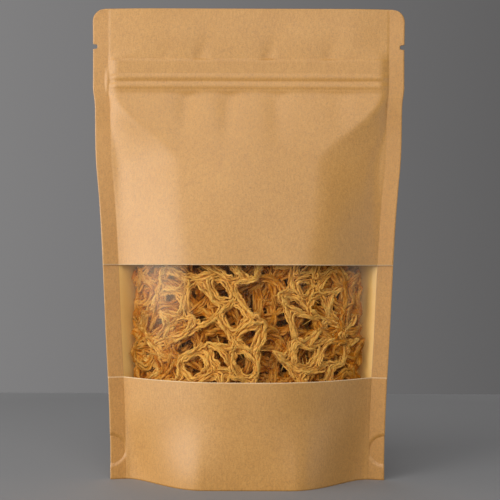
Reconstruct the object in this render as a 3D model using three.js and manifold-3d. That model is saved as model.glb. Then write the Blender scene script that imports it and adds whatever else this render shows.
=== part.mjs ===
// Stand-up kraft pouch of dried Irish moss seaweed.
// Millimetres, +Z up, the front of the pouch faces -Y, and the origin is on the floor under its middle.
// The moss is sixteen fronds, each a net of strands laid out by a seeded rule, and none cross.
import * as THREE from "three";
import { mergeVertices } from "three/addons/utils/BufferGeometryUtils.js";
import Module from "manifold-3d";

// Driving dimensions of the pouch
const POUCH_WIDTH = 160; // flat, from side edge to side edge
const POUCH_HEIGHT = 240;
const SEAL_WIDTH = 8; // flat side seams where front and back are welded together
const FLOOR_DEPTH = 31; // how far each panel stands off the middle plane at the floor
const ZIP_DEPTH = 2.2; // the same at the zip
const MOUTH_DEPTH = 1.3; // and at the top edge
const ZIP_HEIGHT = 200; // where the bulge of the body has died out
const BULGE_POWER = 0.92;
const PAPER = 0.4; // kraft laminate
const FILM = 0.25; // clear window film
const LAYER_GAP = 0.2; // between neighbouring layers in a seam
const CORNER_RADIUS = 6.5;
const NOTCH_HEIGHT = 220.5;
const NOTCH_DEPTH = 2.2;
const NOTCH_HALF_WIDTH = 1.3;
const NOTCH_INNER = 0.85; // share of that half width where the notch is at its full depth
const WINDOW_BOTTOM = 52;
const WINDOW_TOP = 109;
const WINDOW_LAP = 5; // film hidden behind the paper above and below the window
const GUSSET_FOLD = 36; // height of the bottom gusset's fold at the side seams

// Shoulders: the panel is flat across at the zip and falls away along two slanting creases
const SHOULDER_TOP = 196;
const SHOULDER_FOOT = 158;
const SHOULDER_END = 60;
const FLAT_AT_ZIP = 0.93; // share of the half width that stays flat
const FLAT_AT_FOOT = 0.48;
const ROUND_POWER = 2; // section below the shoulders
const CREASE_POWER = 1.35; // section across the shoulders

// The zip: one ridge of paper over each lip of the interlock
const ZIP_RIDGES = [200.2, 204.7];
const ZIP_RIDGE_RISE = 0.5;
const ZIP_RIDGE_HALF_WIDTH = 2;
const ZIP_HALF_LENGTH = 65;
const ZIP_TAPE_BOTTOM = 197.5;
const ZIP_TAPE_TOP = 213.5;

// Driving dimensions of the moss
const MOSS_SEED = 20417;
const MOSS_LAYERS = [-0.75, -0.25, 0.25, 0.75]; // place between the front and back walls, -1 to 1
const LAYER_HALF = 0.25; // half a layer's own depth, in the same shares
const NET_PITCHES = [13, 13.5, 15, 15]; // across one mesh of the net, by layer
const STRAND_RADIUS = 2.1; // the zigzag strands of a net
const LINK_RADIUS = 1.7; // the links between them
const STRAND_GAP = 0.35; // round each strand, clear of other fronds
const STRAND_SIDES = 3;

const SEAM = POUCH_WIDTH / 2 - SEAL_WIDTH; // flat distance from the middle to the seam's crease
const LAYER_OUT = FILM / 2 + LAYER_GAP; // from the seam's middle plane to the paper

const KRAFT = { color: 0xcda268, roughness: 0.85, metalness: 0 };
const CLEAR = { color: 0xf4ead8, roughness: 0.2, metalness: 0, transparent: true, opacity: 0.25 };
const ZIP_PLASTIC = { color: 0xefe9dc, roughness: 0.4, metalness: 0 };
const MOSS = { color: 0xc98f3a, roughness: 0.6, metalness: 0 };

const wasm = await Module();
wasm.setup();

const mix = (a, b, share) => a + (b - a) * share;
const clamp01 = (value) => Math.min(1, Math.max(0, value));

function smoothstep(low, high, value) {
  const share = clamp01((value - low) / (high - low));
  return share * share * (3 - 2 * share);
}

// Distance of a panel's middle from the pouch's middle plane at height z
function panelDepth(z) {
  const body = 1 - (z / ZIP_HEIGHT) ** 2;
  const bulge = body > 0 ? FLOOR_DEPTH * body ** BULGE_POWER : 0;
  const lips = mix(ZIP_DEPTH, MOUTH_DEPTH, smoothstep(ZIP_TAPE_TOP, POUCH_HEIGHT, z));
  return Math.sqrt(bulge * bulge + lips * lips);
}

// How far the zip's lips stand out through the paper
function zipRidge(z) {
  let ridge = 0;
  for (const height of ZIP_RIDGES) {
    ridge += ZIP_RIDGE_RISE * (1 - smoothstep(0, ZIP_RIDGE_HALF_WIDTH, Math.abs(z - height)));
  }
  return ridge;
}

// Share of the depth at the flat place t, from -1 at one seam to 1 at the other
function panelShare(t, z) {
  const upper = smoothstep(SHOULDER_FOOT, SHOULDER_TOP, z);
  const lower = smoothstep(SHOULDER_END, SHOULDER_FOOT, z);
  const flat = mix(FLAT_AT_FOOT * lower, FLAT_AT_ZIP, upper);
  const power = mix(ROUND_POWER, CREASE_POWER, lower);
  const fall = Math.max(0, Math.abs(t) - flat) / (1 - flat);
  return 1 - fall ** power;
}

// A point of the panel: a is the flat distance from its middle line. Paper doesn't stretch,
// so the width follows from the depth along the arc.
const ARC_STEPS = 96;
const LEAST_RUN = 0.1; // across, in one step of the arc
const arcs = new Map();
function arcAt(z) {
  if (arcs.has(z)) return arcs.get(z);
  const depth = panelDepth(z);
  const widths = [0];
  for (let i = 1; i <= ARC_STEPS; i++) {
    const before = depth * panelShare((i - 1) / ARC_STEPS, z);
    const after = depth * panelShare(i / ARC_STEPS, z);
    const along = SEAM / ARC_STEPS;
    const run = Math.sqrt(Math.max(0, along ** 2 - (after - before) ** 2));
    widths.push(widths[i - 1] + Math.max(LEAST_RUN, run));
  }
  arcs.set(z, widths);
  return widths;
}

function panelPoint(a, z, side) {
  const widths = arcAt(z);
  const away = Math.abs(a);
  if (away >= SEAM) {
    return new THREE.Vector3(Math.sign(a) * (widths[ARC_STEPS] + away - SEAM), 0, z);
  }
  const place = (away / SEAM) * ARC_STEPS;
  const step = Math.min(ARC_STEPS - 1, Math.floor(place));
  const x = mix(widths[step], widths[step + 1], place - step);
  const depth = (panelDepth(z) + zipRidge(z)) * panelShare(a / SEAM, z);
  return new THREE.Vector3(Math.sign(a) * x, side * depth, z);
}

// Half the flat width at height z, with the rounded top corners and the tear notches
function edgeAt(z) {
  const above = z - (POUCH_HEIGHT - CORNER_RADIUS);
  if (above > 0) {
    const reach = Math.sqrt(Math.max(0, CORNER_RADIUS ** 2 - above ** 2));
    return POUCH_WIDTH / 2 - CORNER_RADIUS + reach;
  }
  const isNotch = Math.abs(z - NOTCH_HEIGHT) < NOTCH_INNER * NOTCH_HALF_WIDTH;
  return POUCH_WIDTH / 2 - (isNotch ? NOTCH_DEPTH : 0);
}

// A closed sheet from a grid of middle points: each is moved along the grid's own normal
// to the near and the far face, and the four edges are closed.
function sheetGeometry(grid, near, far) {
  const rows = grid.length;
  const columns = grid[0].length;
  const at = (r, c) => grid[Math.min(rows - 1, Math.max(0, r))][Math.min(columns - 1, Math.max(0, c))];
  const faces = [near, far].map((offset) =>
    grid.map((row, r) =>
      row.map((point, c) => {
        const across = at(r, c + 1).clone().sub(at(r, c - 1));
        const up = at(r + 1, c).clone().sub(at(r - 1, c));
        return point.clone().addScaledVector(across.cross(up).normalize(), offset);
      }),
    ),
  );
  const positions = [];
  const quad = (a, b, c, d) => {
    for (const p of [a, b, c, a, c, d]) positions.push(p.x, p.y, p.z);
  };
  const [back, front] = faces;
  for (let r = 0; r + 1 < rows; r++) {
    for (let c = 0; c + 1 < columns; c++) {
      quad(front[r][c], front[r][c + 1], front[r + 1][c + 1], front[r + 1][c]);
      quad(back[r + 1][c], back[r + 1][c + 1], back[r][c + 1], back[r][c]);
    }
  }
  for (let r = 0; r + 1 < rows; r++) {
    quad(back[r][0], front[r][0], front[r + 1][0], back[r + 1][0]);
    const c = columns - 1;
    quad(front[r][c], back[r][c], back[r + 1][c], front[r + 1][c]);
  }
  for (let c = 0; c + 1 < columns; c++) {
    quad(back[0][c + 1], front[0][c + 1], front[0][c], back[0][c]);
    const r = rows - 1;
    quad(back[r][c], front[r][c], front[r][c + 1], back[r][c + 1]);
  }
  return new THREE.BufferGeometry().setAttribute(
    "position",
    new THREE.Float32BufferAttribute(positions, 3),
  );
}

// Flat distances of a panel's columns, closer together towards the seams
const COLUMN_SHARES = [0, 0.27, 0.5, 0.68, 0.83, 0.94, 1];
function panelColumns() {
  const right = [...COLUMN_SHARES.map((share) => share * SEAM), POUCH_WIDTH / 2];
  return [...right.slice(1).reverse().map((a) => -a), ...right];
}

// One paper or film panel between two heights, on the front (-1) or the back (1)
function panelGeometry(heights, side, near, far) {
  const columns = panelColumns();
  const grid = heights.map((z) => {
    const shrink = (edgeAt(z) - SEAM) / SEAL_WIDTH;
    const place = (a) => a - Math.sign(a) * Math.max(0, Math.abs(a) - SEAM) * (1 - shrink);
    return columns.map((a) => panelPoint(place(a), z, side));
  });
  if (side > 0) grid.forEach((row) => row.reverse());
  return sheetGeometry(grid, near, far);
}

// Heights of the rows above the window: creases, zip ridges, tear notches and round corners
const CORNER_ROWS = [0, 0.5, 0.86, 1].map((share) => POUCH_HEIGHT - CORNER_RADIUS * (1 - share));
const NOTCH_ROWS = [-1, -0.7, 0.7, 1].map((share) => NOTCH_HEIGHT + share * NOTCH_HALF_WIDTH);
const ZIP_ROWS = [196, 198.2, ZIP_RIDGES[0], 202.4, ZIP_RIDGES[1], 206.8, 213.5];
const SHOULDER_ROWS = [128, 143, 157, 169, 180, 189];
const UPPER_ROWS = [...SHOULDER_ROWS, ...ZIP_ROWS, ...NOTCH_ROWS, ...CORNER_ROWS];
const LOWER_ROWS = [0, 16, 32];
const FILM_ROWS = [66, 80, 95];

function pouchSheets() {
  const paper = [LAYER_OUT, LAYER_OUT + PAPER];
  const film = [-FILM / 2, FILM / 2];
  const below = [WINDOW_BOTTOM - WINDOW_LAP, WINDOW_BOTTOM];
  const above = [WINDOW_TOP, WINDOW_TOP + WINDOW_LAP];
  const all = [...LOWER_ROWS, ...below, ...FILM_ROWS, ...above, ...UPPER_ROWS];
  return {
    pouch_front_upper: panelGeometry([...above, ...UPPER_ROWS], -1, ...paper),
    pouch_front_lower: panelGeometry([...LOWER_ROWS, ...below], -1, ...paper),
    pouch_window_film: panelGeometry([...below, ...FILM_ROWS, ...above], -1, ...film),
    pouch_back: panelGeometry(all, 1, ...paper),
  };
}

// The bottom gusset lies flat on the floor in the middle and folds up between the panels at both ends
const GUSSET_FLAT = 0.5; // share of the half width where it lies flat
const GUSSET_UP = 1.05; // share where it would be folded right up
const GUSSET_INSET = 0.4; // from the panels' middle surface
const GUSSET_ROWS = [0, 0.3, 0.6, 0.82, 0.95, 1];
function gussetGeometry() {
  const columns = panelColumns().filter((a) => Math.abs(a) < SEAM);
  const rows = [...GUSSET_ROWS.slice(1).reverse().map((v) => -v), ...GUSSET_ROWS];
  const grid = rows.map((v) =>
    columns.map((a) => {
      const rim = panelPoint(a, 0, 1);
      const rise = smoothstep(GUSSET_FLAT, GUSSET_UP, Math.abs(a) / SEAM);
      const arch = Math.sqrt(1 - v * v);
      return new THREE.Vector3(rim.x, v * (rim.y - GUSSET_INSET), PAPER / 2 + GUSSET_FOLD * rise * arch);
    }),
  );
  return sheetGeometry(grid, -PAPER / 2, PAPER / 2);
}

// The two halves of the zip, drawn across the pouch as [depth, height] and run along it
function zipGeometry(outline) {
  const shape = new THREE.Shape(outline.map(([depth, height]) => new THREE.Vector2(depth, height)));
  const geometry = new THREE.ExtrudeGeometry(shape, { depth: 2 * ZIP_HALF_LENGTH, bevelEnabled: false });
  const place = new THREE.Matrix4().makeBasis(
    new THREE.Vector3(0, 1, 0),
    new THREE.Vector3(0, 0, 1),
    new THREE.Vector3(1, 0, 0),
  );
  return geometry.applyMatrix4(place).translate(-ZIP_HALF_LENGTH, 0, 0);
}

const TAPE = 0.5; // thickness of both strips
const GROOVE_HALF = 2.2; // half the groove's height, walls included
const GROOVE_WALL = 0.5;
const GROOVE_LIP = 0.7; // half the gap between the walls' hooked lips
const GROOVE_REACH = 1.2; // past the pouch's middle plane
const RIB_NECK = 0.4; // half its height
const RIB_HEAD = 1.3; // half its height
const RIB_BARB = 0.2; // the head's widest place, past the middle plane
const RIB_TIP = 1.1; // how far the head's point goes into the groove

function zipStrips() {
  const middle = (ZIP_RIDGES[0] + ZIP_RIDGES[1]) / 2;
  const tape = ZIP_DEPTH - TAPE;
  const hook = GROOVE_REACH - GROOVE_WALL;
  const inner = GROOVE_HALF - GROOVE_WALL;
  const lowerWall = [
    [-tape, -GROOVE_HALF], [GROOVE_REACH, -GROOVE_HALF], [GROOVE_REACH, -GROOVE_LIP],
    [hook, -GROOVE_LIP], [hook, -inner], [-tape, -inner],
  ];
  const upperWall = lowerWall.map(([depth, height]) => [depth, -height]).reverse();
  const walls = [...lowerWall, ...upperWall].map(([depth, height]) => [depth, middle + height]);
  const groove = [
    [-ZIP_DEPTH, ZIP_TAPE_BOTTOM], [-tape, ZIP_TAPE_BOTTOM],
    ...walls,
    [-tape, ZIP_TAPE_TOP], [-ZIP_DEPTH, ZIP_TAPE_TOP],
  ];
  const rib = [
    [ZIP_DEPTH, ZIP_TAPE_BOTTOM], [ZIP_DEPTH, ZIP_TAPE_TOP], [tape, ZIP_TAPE_TOP],
    [tape, middle + RIB_NECK], [RIB_NECK, middle + RIB_NECK], [RIB_BARB, middle + RIB_HEAD],
    [-RIB_TIP, middle],
    [RIB_BARB, middle - RIB_HEAD], [RIB_NECK, middle - RIB_NECK], [tape, middle - RIB_NECK],
    [tape, ZIP_TAPE_BOTTOM],
  ];
  return { zip_groove_front: zipGeometry(groove), zip_rib_back: zipGeometry(rib) };
}

// The room that the pouch leaves for the moss
const MOSS_DEPTH = 31.6;
const MOSS_DEPTH_FALL = 0.00077; // per square millimetre of height
const MOSS_WIDTH = 60.5;
const MOSS_WIDTH_RISE = 0.045; // per millimetre of height
const MOSS_WALL = 1.3; // clear of the pouch's walls
const MOSS_FLOOR = 2.4;
const MOSS_PLEAT = 30; // the gusset's ends start this far out
const MOSS_PLEAT_RISE = 0.05; // per square millimetre past that
const MOSS_TOP = 127;
const MOSS_TOP_FALL = 0.006; // per square millimetre from the middle

// Half the depth of the room
function roomAt(x, z) {
  const width = MOSS_WIDTH + MOSS_WIDTH_RISE * z;
  return (MOSS_DEPTH - MOSS_DEPTH_FALL * z * z) * (1 - (x * x) / (width * width)) - MOSS_WALL;
}

function isBetweenFloorAndTop(x, z, radius) {
  const past = Math.max(0, Math.abs(x) - MOSS_PLEAT);
  if (z - radius < MOSS_FLOOR + MOSS_PLEAT_RISE * past * past) return false;
  return z + radius < MOSS_TOP - MOSS_TOP_FALL * x * x;
}

function makeRandom(seed) {
  let state = seed;
  return () => {
    state = (Math.imul(state, 1664525) + 1013904223) >>> 0;
    return state / 4294967296;
  };
}

// A net is a honeycomb that is turned, warped and jittered: zigzag strands with a link at every
// second knot. Some of its strands and links are left out.
const ROW_RISE = Math.sqrt(3) / 2; // from strand to strand, in pitches
const ZIGZAG = 1 / (4 * Math.sqrt(3)); // how far a knot stands off its strand's middle
const NET_TURN = 1.2; // most, in radians
const NET_JITTER = 0.2; // of the pitch
const NET_WARP = 2.6;
const NET_WARP_LENGTH = 37;
const NET_STEPS = 8; // knots each way along a strand
const NET_ROWS = 5; // strands each way
const STRAND_BREAK = 0.05; // share of the steps left out
const LINK_BREAK = 0.12; // share of the links left out

function growNet(random, frond, pitch) {
  const spread = () => 2 * random() - 1;
  const jitter = () => NET_JITTER * pitch * spread();
  const turn = NET_TURN * spread();
  const phases = [random(), random()];
  const wave = (place, phase) => NET_WARP * Math.sin(2 * Math.PI * (place / NET_WARP_LENGTH + phase));
  const knots = new Map();
  for (let j = -NET_ROWS; j <= NET_ROWS; j++) {
    for (let i = -NET_STEPS; i <= NET_STEPS; i++) {
      const isUp = (i + j) % 2 === 0;
      const along = (pitch * i) / 2;
      const across = pitch * (ROW_RISE * j + (isUp ? ZIGZAG : -ZIGZAG));
      const plainX = frond.x + along * Math.cos(turn) - across * Math.sin(turn) + jitter();
      const plainZ = frond.z + along * Math.sin(turn) + across * Math.cos(turn) + jitter();
      const x = plainX + wave(plainZ, phases[0]);
      const z = plainZ + wave(plainX, phases[1]);
      const y = layerDepth(frond.layer, roomAt(x, z), spread());
      const stepKept = random() >= STRAND_BREAK;
      const linkKept = random() >= LINK_BREAK;
      if (y === null || !frond.holds(x, z) || !isBetweenFloorAndTop(x, z, STRAND_RADIUS)) continue;
      const place = new THREE.Vector3(x, y, z);
      knots.set(`${i},${j}`, { i, j, place, stepKept, linkKept: linkKept && isUp });
    }
  }
  return largestPart(knots);
}

// Depth of a strand in its layer, swaying as far as the layer allows, or null where there is no room
function layerDepth(layer, room, sway) {
  const needed = STRAND_RADIUS + STRAND_GAP;
  const half = LAYER_HALF * room;
  const isOuter = Math.abs(layer) > 2 * LAYER_HALF;
  if (half < needed) {
    return isOuter && room >= 2 * needed ? Math.sign(layer) * (room - needed) : null;
  }
  return layer * room + (half - needed) * sway;
}

// Strands and links of the largest part of a net that hangs together
function largestPart(knots) {
  const steps = [];
  const links = [];
  for (const knot of knots.values()) {
    const beside = knots.get(`${knot.i + 1},${knot.j}`);
    const above = knots.get(`${knot.i},${knot.j + 1}`);
    if (beside && knot.stepKept) steps.push([knot, beside]);
    if (above && knot.linkKept) links.push([knot, above]);
  }
  const joined = new Map([...knots.values()].map((knot) => [knot, []]));
  for (const [a, b] of [...steps, ...links]) {
    joined.get(a).push(b);
    joined.get(b).push(a);
  }
  const seen = new Set();
  let largest = new Set();
  for (const first of knots.values()) {
    if (seen.has(first)) continue;
    const part = new Set([first]);
    for (const knot of part) joined.get(knot).forEach((next) => part.add(next));
    part.forEach((knot) => seen.add(knot));
    if (part.size > largest.size) largest = part;
  }
  const strands = [];
  for (const [a, b] of steps.filter(([knot]) => largest.has(knot))) {
    const strand = strands[strands.length - 1];
    if (strand && strand[strand.length - 1] === a) strand.push(b);
    else strands.push([a, b]);
  }
  return { strands, links: links.filter(([knot]) => largest.has(knot)) };
}

// The four fronds of a layer meet below the window. Above that, they meet right and left of the middle
// by turns, so that no gap runs through all the layers.
const MEETING_OUT = 15;
const MEETING_HEIGHT = 42;
const MEETING_SPREAD = 5;
const FROND_MIDDLES = { x: [-28, 28], z: [24, 84] };

function growMoss() {
  const random = makeRandom(MOSS_SEED);
  const spread = () => 2 * random() - 1;
  const clear = STRAND_RADIUS + STRAND_GAP;
  const nets = [];
  MOSS_LAYERS.forEach((layer, index) => {
    const lowerX = MEETING_SPREAD * spread();
    const upperX = lowerX + (index % 2 ? -MEETING_OUT : MEETING_OUT);
    const meetingZ = MEETING_HEIGHT + MEETING_SPREAD * spread();
    for (const [row, middleZ] of FROND_MIDDLES.z.entries()) {
      const meetingX = row ? upperX : lowerX;
      for (const [column, middleX] of FROND_MIDDLES.x.entries()) {
        const holds = (x, z) => {
          const out = (column ? 1 : -1) * (x - meetingX);
          const up = (row ? 1 : -1) * (z - meetingZ);
          return out > clear && up > clear;
        };
        nets.push(growNet(random, { layer, x: middleX, z: middleZ, holds }, NET_PITCHES[index]));
      }
    }
  });
  return nets;
}

// One strand: a tube with few sides, thinner where its knots are close together
const TIGHT = 0.42; // radius over the shorter step beside a knot
function strandGeometry(knots, radius) {
  const places = knots.map((knot) => knot.place);
  const last = places.length - 1;
  let side = new THREE.Vector3(0, 1, 0);
  const rings = places.map((place, i) => {
    const before = places[Math.max(i - 1, 0)];
    const after = places[Math.min(i + 1, last)];
    const along = after.clone().sub(before).normalize();
    side = side.clone().addScaledVector(along, -side.dot(along)).normalize();
    const other = along.clone().cross(side);
    const steps = [before, after].filter((near) => near !== place).map((near) => near.distanceTo(place));
    const thick = Math.min(radius, TIGHT * Math.min(...steps));
    return Array.from({ length: STRAND_SIDES }, (_, k) => {
      const angle = (2 * Math.PI * k) / STRAND_SIDES;
      const ring = place.clone().addScaledVector(side, thick * Math.cos(angle));
      return ring.addScaledVector(other, thick * Math.sin(angle));
    });
  });
  const positions = [];
  const triangle = (...corners) => corners.forEach((p) => positions.push(p.x, p.y, p.z));
  for (let i = 0; i < last; i++) {
    for (let k = 0; k < STRAND_SIDES; k++) {
      const next = (k + 1) % STRAND_SIDES;
      triangle(rings[i][k], rings[i][next], rings[i + 1][next]);
      triangle(rings[i][k], rings[i + 1][next], rings[i + 1][k]);
    }
  }
  for (let k = 1; k + 1 < STRAND_SIDES; k++) {
    triangle(rings[0][0], rings[0][k + 1], rings[0][k]);
    triangle(rings[last][0], rings[last][k], rings[last][k + 1]);
  }
  return new THREE.BufferGeometry().setAttribute(
    "position",
    new THREE.Float32BufferAttribute(positions, 3),
  );
}

const WELD = 1e-4;
function solidOf(geometry) {
  const merged = mergeVertices(geometry, WELD);
  return new wasm.Manifold(
    new wasm.Mesh({
      numProp: 3,
      vertProperties: merged.attributes.position.array,
      triVerts: new Uint32Array(merged.index.array),
    }),
  );
}

// All strands of a frond fused into one body, without the hollows and scraps that fusing can leave
function frondGeometry({ strands, links }) {
  const tubes = [
    ...strands.map((knots) => strandGeometry(knots, STRAND_RADIUS)),
    ...links.map((knots) => strandGeometry(knots, LINK_RADIUS)),
  ];
  const fused = tubes.map(solidOf).reduce((whole, tube) => whole.add(tube));
  const body = fused.decompose().sort((a, b) => b.volume() - a.volume())[0];
  const mesh = body.getMesh();
  return new THREE.BufferGeometry()
    .setAttribute("position", new THREE.BufferAttribute(mesh.vertProperties, 3))
    .setIndex(new THREE.BufferAttribute(mesh.triVerts, 1));
}

function named(name, geometry, finish) {
  const mesh = new THREE.Mesh(geometry, new THREE.MeshStandardMaterial(finish));
  mesh.name = name;
  return mesh;
}

const pouch = new THREE.Group();
pouch.name = "pouch";
for (const [name, geometry] of Object.entries(pouchSheets())) {
  pouch.add(named(name, geometry, name === "pouch_window_film" ? CLEAR : KRAFT));
}
pouch.add(named("pouch_gusset", gussetGeometry(), KRAFT));
for (const [name, geometry] of Object.entries(zipStrips())) {
  pouch.add(named(name, geometry, ZIP_PLASTIC));
}

const moss = new THREE.Group();
moss.name = "moss";
growMoss().forEach((net, i) => {
  moss.add(named(`moss_frond_${String(i + 1).padStart(2, "0")}`, frondGeometry(net), MOSS));
});

const filledPouch = new THREE.Group();
filledPouch.name = "irish_moss_pouch";
filledPouch.add(pouch, moss);

export default filledPouch;
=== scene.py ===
"""Looks of a kraft stand-up pouch filled with dried Irish moss seaweed.

Sizes are in millimetres in the part's own frame: +Z up, the front faces -Y, and the origin is on the
floor under the middle. They become metres where the meshes are made.
"""

import math

import bpy
import numpy as np
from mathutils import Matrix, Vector

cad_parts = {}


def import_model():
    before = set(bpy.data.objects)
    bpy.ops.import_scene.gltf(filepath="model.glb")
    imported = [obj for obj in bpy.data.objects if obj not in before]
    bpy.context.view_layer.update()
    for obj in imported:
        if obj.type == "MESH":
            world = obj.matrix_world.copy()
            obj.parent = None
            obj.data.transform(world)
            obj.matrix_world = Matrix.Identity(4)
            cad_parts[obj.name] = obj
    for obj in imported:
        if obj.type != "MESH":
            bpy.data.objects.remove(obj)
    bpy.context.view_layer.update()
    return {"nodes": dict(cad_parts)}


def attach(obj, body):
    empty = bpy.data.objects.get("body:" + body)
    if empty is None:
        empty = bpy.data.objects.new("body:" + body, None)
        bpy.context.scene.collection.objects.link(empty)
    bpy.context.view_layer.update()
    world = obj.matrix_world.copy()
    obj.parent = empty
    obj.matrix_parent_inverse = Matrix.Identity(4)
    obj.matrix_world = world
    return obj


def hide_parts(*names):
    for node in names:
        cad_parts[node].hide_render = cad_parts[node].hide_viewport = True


MM = 0.001

# Driving dimensions of the pouch, as in the solids
POUCH_WIDTH = 160.0
POUCH_HEIGHT = 240.0
SEAL_WIDTH = 8.0
FLOOR_DEPTH = 31.0
ZIP_DEPTH = 2.2
MOUTH_DEPTH = 1.3
ZIP_HEIGHT = 200.0
BULGE_POWER = 0.92
PAPER_NEAR = 0.325  # inner and outer face of the paper, out from the panel's middle surface
PAPER_FAR = 0.725
FILM_HALF = 0.06
CORNER_RADIUS = 6.5
NOTCH_HEIGHT = 220.5
NOTCH_DEPTH = 2.2
NOTCH_HALF_WIDTH = 1.3
NOTCH_POWER = 6  # how square the notches are
WINDOW_BOTTOM = 52.0
WINDOW_TOP = 109.0
WINDOW_LAP = 5.0
GUSSET_FOLD = 36.0
GUSSET_FLAT = 0.5
GUSSET_INSET = 0.4
GUSSET_HALF = 0.2  # half its thickness
GUSSET_SPAN = 0.94  # share of the width between the seams
GUSSET_RISE_END = 1.05  # where its fold would be fully up, as a share of half that width
SEAM = POUCH_WIDTH / 2 - SEAL_WIDTH
FIN_BEND = 0.22  # the side seams lean forward by this, per millimetre of their width
FIN_BEND_ENDS = (110.0, 185.0)  # from full to none
SEAM_PRESS = 0.16  # the side seams are pressed in by this
SEAM_STEP = 0.7  # width of the step beside them

# Shoulders under the zip
SHOULDER_TOP = 196.0
SHOULDER_FOOT = 158.0
SHOULDER_END = 60.0
FLAT_AT_ZIP = 0.93
FLAT_AT_FOOT = 0.48
ROUND_POWER = 2.0
CREASE_POWER = 1.35

# The looks' own cross-section, softer than in the solids
LOOK_POWER = 1.35  # of the round part, which runs flat into the seams
CREASE_HEIGHTS = (118.0, 170.0)  # the shoulders' creases: none below, full above
LOOK_FLAT = 0.47  # flat share of the width at the shoulders' foot
LOOK_FLAT_END = 10.0
SEAM_SOFT = (0.3, 0.02)  # share of a crease's side that eases into the seam, below and at the zip
MIDDLE_ROUND = 0.4  # the panel's middle is this much rounder above the window
ROUND_HEIGHTS = (85.0, 125.0)
FLAT_AT_MOUTH = 0.7
MOUTH_FLAT_RISE = 8.0  # it is reached this far above the zip's tape
ZIP_LEAN = 1.1  # the seams lean forward by this beside the zip
ZIP_LEAN_HEIGHTS = (175.0, 198.0, 212.0, 236.0)  # none, full, full and none
FOOT_HEIGHTS = (2.0, 38.0)  # the foot's corners lie flat: fully below, not at all above
FOOT_SPAN = (0.3, 0.97)  # flat places between which the foot's front falls back

# The zip's ridges and tape, as they show through the paper
ZIP_RIDGES = (200.2, 204.7)
ZIP_RIDGE_RISE = 0.5
ZIP_RIDGE_HALF_WIDTH = 2.0
ZIP_TAPE_TOP = 213.5

# Grid steps of the paper and film
COLUMN_STEP = 1.6
FIN_COLUMNS = 13
ROW_STEP = 1.0
LOWER_ROW_STEP = 0.7
BACK_ROW_STEP = 2.0
# Finer rows over the zip, the tape's edge, the notches and the corners: from, to and step
FINE_ROWS = ((197.4, 207.6, 0.4), (212.6, 214.8, 0.4), (218.9, 222.2, 0.2), (233.5, 240.01, 0.5))
LEAST_ROW_GAP = 0.12
HEIGHT_DIGITS = 3
ARC_PLACES = 289  # places along half a panel where its width is worked out
LEAST_ADVANCE = 1e-4  # square of the least advance in width between two of them
GUSSET_COLUMNS = 97
GUSSET_ROWS = 49
EDGE_HIGHLIGHT_WIDTH = 0.4  # painted highlight: a pale line of cut-edge colour along the window's cut edges

# Dents and folds of the papers: flat distance from the middle line, half width, depth
MOUTH_DENTS = ((-25, 3.2, 0.8), (9.5, 3.2, 0.8), (41, 4, 0.5), (-43, 3, 0.35))
MOUTH_DENT_LEAN = 0.25
MOUTH_DENT_HEIGHTS = (212.5, 215.0, 215.0, 230.0)  # none, full, full and none
FLUTES = ((-31, 5, 0.9), (-10, 5, 0.9), (14, 5, 0.6), (45, 6, 0.4))
FLUTE_FAN = 0.002  # how the flutes spread, per millimetre below the zip
FLUTE_HEIGHTS = (160.0, 190.0, 194.0, 198.0)
BACK_FOLDS = ((-38, 5, 0.5), (4, 5, 0.45), (30, 5, 0.5))
BACK_FOLD_HEIGHT = 221.0
BACK_FOLD_HALF_HEIGHT = 9.0
BACK_FLUTE_SHIFT = 8.0  # its flutes lie this far beside the folds of its mouth
BACK_FLUTE_HEIGHTS = (165.0, 192.0, 194.0, 198.0)
TAPE_RISE = 0.55
TAPE_HEIGHTS = (196.0, 198.5, 213.0, 214.2)
ZIP_PINCH = (-72.4, 0.8, 203.0, 5.0, 0.9)  # beside the zip's end, sizes as for the swells
# The same with heights: flat distance, half width, height, half height, how far it stands out
FRONT_SWELLS = (
    (-8, 30, 152, 32, 2.0),
    (-14, 18, 128, 16, 0.5),
    (26, 14, 122, 12, 0.35),
    (-30, 15, 36, 12, 0.4),
    (20, 18, 24, 12, 0.35),
    (-35, 9, 225, 8, 0.35),
    (-7, 10, 226, 9, 0.3),
    (27, 10, 225, 9, 0.4),
    (54, 8, 226, 8, 0.3),
)
BACK_SWELLS = ((12, 20, 92, 22, 0.6), (-32, 16, 52, 18, 0.5))
# Painted glare: milky bands where the film is made more opaque and rough so that the lamps' sheen shows
# there: flat distance, half width, heights where it starts and is full, share
FILM_GLARE_BANDS = ((-44, 10, (45, 95), 0.048), (59, 7, (60, 95), 0.035))
# Ripples of the film: height, turn per millimetre across and up, phase
FILM_RIPPLES = ((0.16, 0.33, 0.05, 0.0), (0.1, 0.71, -0.09, 1.3))
FILM_EDGE_EASE = 6.0  # they die out this far from the window's edges
SEAM_EASE = 5.0  # dents and ripples die out this far from the seams
PUNCH_RADIUS = 8.2
PUNCH_HEIGHT = 15.0
PUNCH_PRESS = 0.8
PUNCH_EDGE = 0.6

# Moss, as in the solids: the same seed lays out the same nets
MOSS_SEED = 20417
DRAW_FACTOR = 1664525
DRAW_STEP = 1013904223
DRAW_RANGE = 2**32
MOSS_LAYERS = (-0.75, -0.25, 0.25, 0.75)  # place between the front and back walls, -1 to 1
LAYER_HALF = 0.25
NET_PITCHES = (13, 13.5, 15, 15)
STRAND_RADIUS = 2.1
STRAND_GAP = 0.35
MOSS_DEPTH = 31.6
MOSS_DEPTH_FALL = 0.00077
MOSS_WIDTH = 60.5
MOSS_WIDTH_RISE = 0.045
MOSS_WALL = 1.3
MOSS_FLOOR = 2.4
MOSS_PLEAT = 30
MOSS_PLEAT_RISE = 0.05
MOSS_TOP = 127
MOSS_TOP_FALL = 0.006
ROW_RISE = math.sqrt(3) / 2
ZIGZAG = 1 / (4 * math.sqrt(3))
NET_TURN = 1.2
NET_JITTER = 0.2
NET_WARP = 2.6
NET_WARP_LENGTH = 37
NET_STEPS = 8
NET_ROWS = 5
STRAND_BREAK = 0.05
LINK_BREAK = 0.12
MEETING_OUT = 15
MEETING_HEIGHT = 42
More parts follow.
